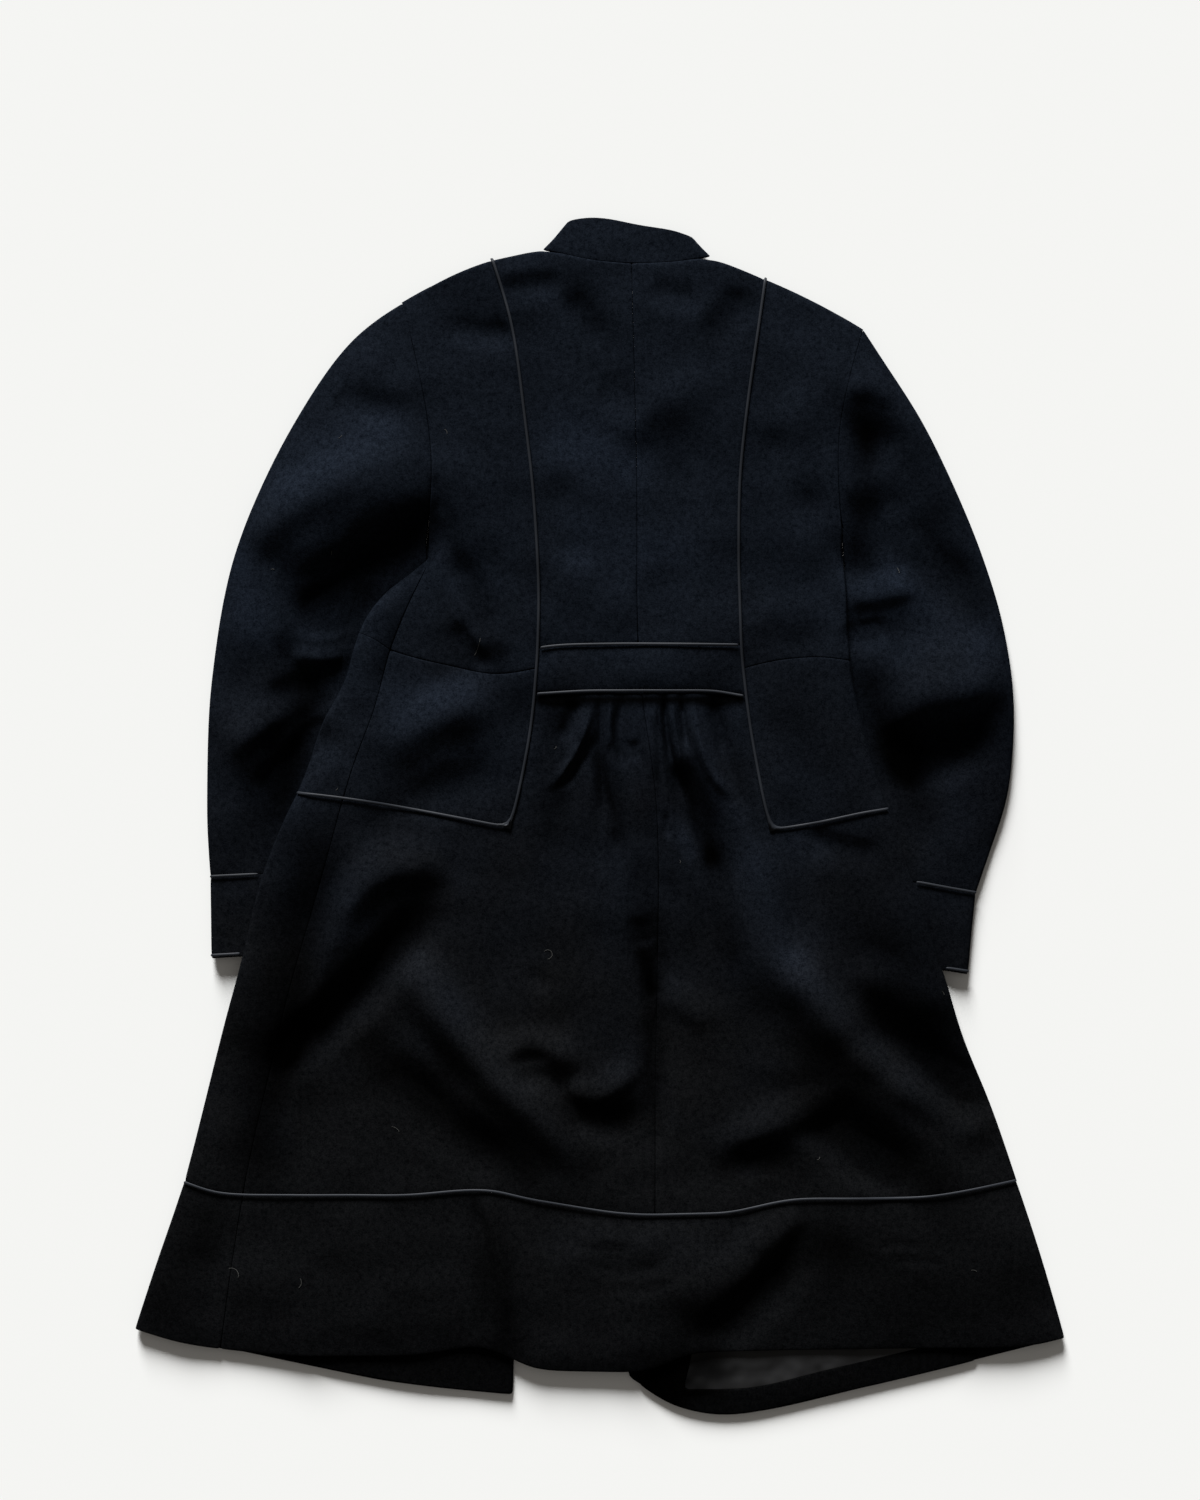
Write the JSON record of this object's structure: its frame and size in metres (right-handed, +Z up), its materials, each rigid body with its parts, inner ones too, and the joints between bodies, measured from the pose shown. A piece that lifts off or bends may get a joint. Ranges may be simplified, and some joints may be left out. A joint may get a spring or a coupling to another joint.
{
  "type": "coat",
  "caption": "Knee-length dark wool coat laid flat, back up, with a stand collar, piped princess seams, a half belt over a gathered skirt and a deep hem band.",
  "frame": {"origin": "on the floor, under the middle of the coat's outline", "axes": "+Z up out of the coat's back, +Y towards its collar, +X towards its right-hand side as seen from above"},
  "size_m": [0.8174, 1.0536, 0.0337],
  "materials": {
    "wool": "thick felted wool, very dark navy, matt",
    "piping": "grey satin piping, soft sheen",
    "lining": "grey satin lining, soft sheen"
  },
  "bodies": {
    "root": {"centre_back_left": "wool", "centre_back_right": "wool", "side_back_left": "wool", "side_back_right": "wool", "side_hip_left": "wool", "side_hip_right": "wool", "half_belt": "wool", "skirt_back_left": "wool", "skirt_back_right": "wool", "hem_band_back": "wool", "front_left": "wool", "front_hip_left": "wool", "front_skirt_left": "wool", "hem_band_front_left": "wool", "front_right": "wool", "front_hip_right": "wool", "front_skirt_right": "wool", "hem_band_front_right": "wool", "hem_facing_left": "wool", "hem_facing_right": "wool", "lining_right": "lining", "stand_collar": "wool", "top_sleeve_left": "wool", "top_sleeve_right": "wool", "under_sleeve_left": "wool", "under_sleeve_right": "wool", "cuff_left": "wool", "cuff_right": "wool", "piping_side_left": "piping", "piping_side_right": "piping", "piping_belt_top": "piping", "piping_belt_bottom": "piping", "piping_hem": "piping", "piping_cuff_top_left": "piping", "piping_cuff_top_right": "piping", "piping_cuff_end_left": "piping", "piping_cuff_end_right": "piping"}
  },
  "joints": []
}
